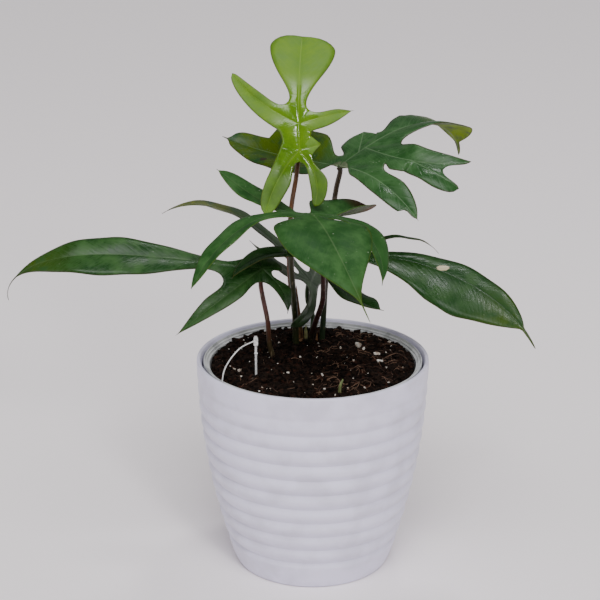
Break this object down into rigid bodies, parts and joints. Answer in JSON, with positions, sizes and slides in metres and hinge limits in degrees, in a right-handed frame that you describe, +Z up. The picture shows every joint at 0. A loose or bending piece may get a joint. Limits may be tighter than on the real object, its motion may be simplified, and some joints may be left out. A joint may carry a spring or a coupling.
{
  "type": "potted philodendron",
  "caption": "Young climbing philodendron with deeply lobed leaves on slim stalks, in a nursery pot inside a white ribbed cover pot.",
  "frame": {"origin": "centre of the cover pot's underside, on the surface it stands on", "axes": "+Z up; -Y towards the viewer of the picture; +X to that viewer's right"},
  "size_m": [0.3066, 0.1851, 0.3183],
  "materials": {
    "cover_pot": "satin white",
    "nursery_pot": "grey translucent",
    "soil": "dark, coarse, moist",
    "leaf_stalk": "reddish brown, smooth",
    "new_leaf": "lime green, glossy",
    "green_leaf": "dark green, semi-gloss",
    "leaf_underside": "grey green, matte underside",
    "dry_sheath": "tan, papery",
    "fresh_sheath": "pale yellow green",
    "sprout": "olive green",
    "tag_fastener": "clear nylon"
  },
  "bodies": {
    "root": {"cover_pot": "cover_pot", "nursery_pot": "nursery_pot", "soil": "soil", "new_leaf_stalk": "leaf_stalk", "new_leaf_blade": "new_leaf", "front_leaf_stalk": "leaf_stalk", "front_leaf_blade": "green_leaf", "left_leaf_stalk": "leaf_stalk", "left_leaf_blade": "green_leaf", "right_leaf_stalk": "leaf_stalk", "right_leaf_blade": "green_leaf", "upper_leaf_stalk": "leaf_stalk", "upper_leaf_blade": "green_leaf", "inner_leaf_stalk": "leaf_stalk", "inner_leaf_blade": "leaf_underside", "dry_sheath": "dry_sheath", "short_sheath": "dry_sheath", "fresh_sheath": "fresh_sheath", "sprout": "sprout", "tag_fastener": "tag_fastener"}
  },
  "joints": []
}
